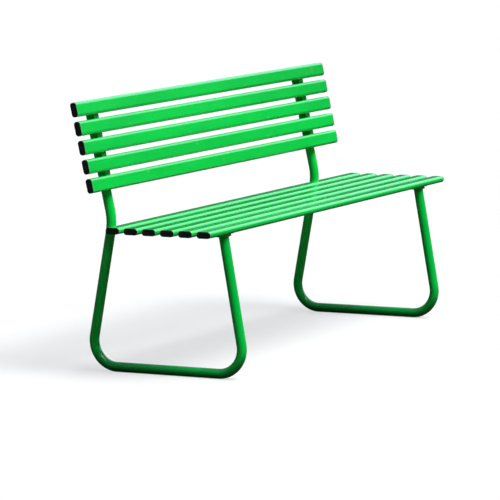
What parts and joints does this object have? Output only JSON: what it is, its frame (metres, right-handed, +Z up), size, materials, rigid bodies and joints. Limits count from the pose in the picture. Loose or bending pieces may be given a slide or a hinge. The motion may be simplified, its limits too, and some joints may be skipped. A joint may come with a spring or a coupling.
{
  "type": "park bench",
  "caption": "Steel park bench with a backrest: flat rounded slats with black end caps on two side frames, each bent from one round tube into legs, ground rail and back post",
  "frame": {"origin": "on the ground, under the middle of the bench's outline", "axes": "+X along the slats, +Y from the front edge of the seat to the backrest, +Z up"},
  "size_m": [1.5, 0.4839, 0.745],
  "materials": {
    "green_paint": "glossy",
    "black_plastic": "satin"
  },
  "bodies": {
    "root": {"left_side_frame": "green_paint", "left_seat_bearer": "green_paint", "left_back_strip": "green_paint", "left_seat_welds": "green_paint", "left_back_welds": "green_paint", "left_frame_welds": "green_paint", "left_post_plug": "black_plastic", "right_side_frame": "green_paint", "right_seat_bearer": "green_paint", "right_back_strip": "green_paint", "right_seat_welds": "green_paint", "right_back_welds": "green_paint", "right_frame_welds": "green_paint", "right_post_plug": "black_plastic", "seat_slat_1": "green_paint", "seat_cap_left_1": "black_plastic", "seat_cap_right_1": "black_plastic", "seat_slat_2": "green_paint", "seat_cap_left_2": "black_plastic", "seat_cap_right_2": "black_plastic", "seat_slat_3": "green_paint", "seat_cap_left_3": "black_plastic", "seat_cap_right_3": "black_plastic", "seat_slat_4": "green_paint", "seat_cap_left_4": "black_plastic", "seat_cap_right_4": "black_plastic", "seat_slat_5": "green_paint", "seat_cap_left_5": "black_plastic", "seat_cap_right_5": "black_plastic", "seat_slat_6": "green_paint", "seat_cap_left_6": "black_plastic", "seat_cap_right_6": "black_plastic", "back_slat_1": "green_paint", "back_cap_left_1": "black_plastic", "back_cap_right_1": "black_plastic", "back_slat_2": "green_paint", "back_cap_left_2": "black_plastic", "back_cap_right_2": "black_plastic", "back_slat_3": "green_paint", "back_cap_left_3": "black_plastic", "back_cap_right_3": "black_plastic", "back_slat_4": "green_paint", "back_cap_left_4": "black_plastic", "back_cap_right_4": "black_plastic", "back_slat_5": "green_paint", "back_cap_left_5": "black_plastic", "back_cap_right_5": "black_plastic"}
  },
  "joints": []
}
